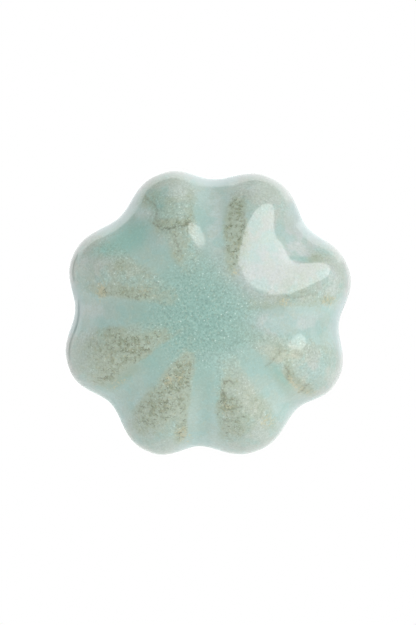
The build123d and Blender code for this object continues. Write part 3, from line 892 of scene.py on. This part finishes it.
# The tent's brightness. A direction is a unit vector from the object: +X right, +Y behind it, +Z up.
TENT_RADIANCE = 1.0
SWEEP_SIDE = (-0.5, 0.0, 0.86)
SWEEP_EDGE = 0.2
SWEEP_RADIANCE, SWEEP_TOP_RADIANCE = 1.8, 2.5
DIM_SIDE, DIM_SHARE = (-0.50, -0.05, 0.87), 0.5
DIM_FLOOR, DIM_FLOOR_SHARE = (-0.32, -0.30, -0.90), 0.62
WALL_GLOW = 0.95
WINDOW_GLOW = 0.6
HORIZON_GLOW = 0.7
UPRIGHT_RADIANCE = 0.1

FLOOR_REACH, FLOOR_LEVEL = 0.45, -0.1
CAMERA_DISTANCE = 0.75
CAMERA_RIGHT, CAMERA_UP = 0.00003, 0.00004
FRAME_HEIGHT = 0.0855  # how much of the head's widest section the picture shows from top to bottom
SENSOR_WIDTH = 36


def aim(thing, target):
    thing.rotation_mode = "QUATERNION"
    thing.rotation_quaternion = (Vector(target) - thing.location).to_track_quat("-Z", "Y")


def softbox(name, direction, distance, width, length, spin, radiance):
    """An elliptical softbox of one radiance, aimed at the head and turned on its own axis by spin degrees."""
    data = bpy.data.lights.new(name, "AREA")
    data.shape, data.size, data.size_y = "ELLIPSE", width, length
    data.energy = radiance * pi * pi * width * length / 4
    lamp = bpy.data.objects.new(name, data)
    lamp.location = HEAD_CENTRE + Vector(direction).normalized() * distance
    aim(lamp, HEAD_CENTRE)
    lamp.rotation_quaternion = lamp.rotation_quaternion @ Quaternion((0, 0, 1), radians(spin))
    lamp.visible_camera = False
    bpy.context.scene.collection.objects.link(lamp)


class Tent(Nodes):
    """The world's node tree. Each method gives how much of one surface a direction meets, from 0 to 1."""

    def __init__(self, tree):
        super().__init__(tree)
        self.direction = tree.nodes.new("ShaderNodeTexCoord").outputs["Generated"]
        parts = tree.nodes.new("ShaderNodeSeparateXYZ")
        self.feed(parts.inputs[0], self.direction)
        self.x, self.y, self.z = parts.outputs

    def toward(self, direction, start, end):
        """How nearly a direction is the given one, between two values of the cosine."""
        return self.ramp(self.vector("DOT_PRODUCT", self.direction, direction), start, end)

    def both(self, *shares):
        result = shares[0]
        for share in shares[1:]:
            result = self.math("MULTIPLY", result, share)
        return result

    def sweep(self):
        """The bright backdrop: behind the object, and above a line that rises to the right."""
        back = self.ramp(self.y, SWEEP_EDGE - 0.01, SWEEP_EDGE + 0.01)
        return self.both(back, self.toward(SWEEP_SIDE, -0.12, -0.02))

    def wall(self):
        """A white wall at the left, from just below the object's level to a little above it."""
        low = self.both(self.ramp(self.z, 0.55, 0.42), self.ramp(self.z, -0.35, -0.05))
        return self.both(self.ramp(self.y, -0.35, 0.05), self.ramp(self.x, -0.5, -0.7), low)

    def window(self):
        """A bright place behind and to the right."""
        return self.both(self.ramp(self.y, 0.45, 0.7), self.ramp(self.x, 0.35, 0.55))

    def horizon(self):
        """A glow straight behind the object, which fades to the right."""
        return self.both(self.ramp(self.y, 0.66, 0.84), self.ramp(self.x, 0.1, -0.2))

    def upright(self):
        """A dark upright behind and to the left."""
        bearing = self.math("DIVIDE", self.y, self.math("MULTIPLY", self.x, -1.0))
        across = self.both(self.ramp(bearing, 0.41, 0.43), self.ramp(bearing, 0.60, 0.58))
        along = self.ramp(self.math("ABSOLUTE", self.z), 0.42, 0.38)
        return self.both(across, along, self.ramp(self.x, 0.0, -0.01))


def build_world():
    """A white tent: a bright backdrop, a dim upper left and floor, a wall, a window and one dark upright."""
    world = bpy.data.worlds.new("white_tent")
    bpy.context.scene.world = world
    world.use_nodes = True
    tent = Tent(world.node_tree)

    light = TENT_RADIANCE
    for share, dimming in ((tent.toward(DIM_SIDE, 0.6, 0.95), DIM_SHARE),
                           (tent.toward(DIM_FLOOR, 0.5, 0.95), DIM_FLOOR_SHARE)):
        light = tent.math("SUBTRACT", light, tent.math("MULTIPLY", share, dimming))
    for share, glow in ((tent.wall(), WALL_GLOW), (tent.window(), WINDOW_GLOW)):
        light = tent.math("ADD", light, tent.math("MULTIPLY", share, glow))
    sweep = tent.ramp(tent.z, 0.2, 0.5, SWEEP_RADIANCE, SWEEP_TOP_RADIANCE)
    light = tent.mix(tent.sweep(), light, tent.grey(sweep))
    light = tent.vector("ADD", light, tent.grey(tent.math("MULTIPLY", tent.horizon(), HORIZON_GLOW)))
    light = tent.mix(tent.upright(), light, (UPRIGHT_RADIANCE,) * 3)

    # What the camera sees directly is plain white.
    seen = tent.tree.nodes.new("ShaderNodeLightPath").outputs["Is Camera Ray"]
    tent.feed(tent.tree.nodes["Background"].inputs["Color"], tent.mix(seen, light, (1.0, 1.0, 1.0)))


def build_floor():
    mesh = bpy.data.meshes.new("studio_floor")
    half, level = FLOOR_REACH, FLOOR_LEVEL
    corners = [(-half, -half, level), (half, -half, level), (half, half, level), (-half, half, level)]
    mesh.from_pydata(corners, [], [(0, 1, 2, 3)])
    floor_piece = bpy.data.objects.new("studio_floor", mesh)
    bpy.context.scene.collection.objects.link(floor_piece)
    shader = Shader("studio_paper")
    shader.set(Base_Color=shader.mix(shader.noise(0.05, 3), (0.90,) * 3, (0.93,) * 3), Roughness=0.9)
    mesh.materials.append(shader.material)


def build_camera():
    data = bpy.data.cameras.new("camera")
    camera = bpy.data.objects.new("camera", data)
    bpy.context.scene.collection.objects.link(camera)
    bpy.context.scene.camera = camera
    camera.location = (CAMERA_RIGHT, -CAMERA_DISTANCE, CAMERA_UP)
    aim(camera, (CAMERA_RIGHT, 0, CAMERA_UP))
    data.sensor_width = SENSOR_WIDTH
    data.lens = SENSOR_WIDTH * (CAMERA_DISTANCE - EQUATOR * MM) / FRAME_HEIGHT


def build_studio():
    bpy.context.scene.view_settings.view_transform = "Standard"
    build_world()
    softbox("key_softbox", KEY_DIRECTION, KEY_DISTANCE, KEY_WIDTH, KEY_LENGTH, KEY_SPIN, KEY_RADIANCE)
    build_floor()
    build_camera()


build_studio()
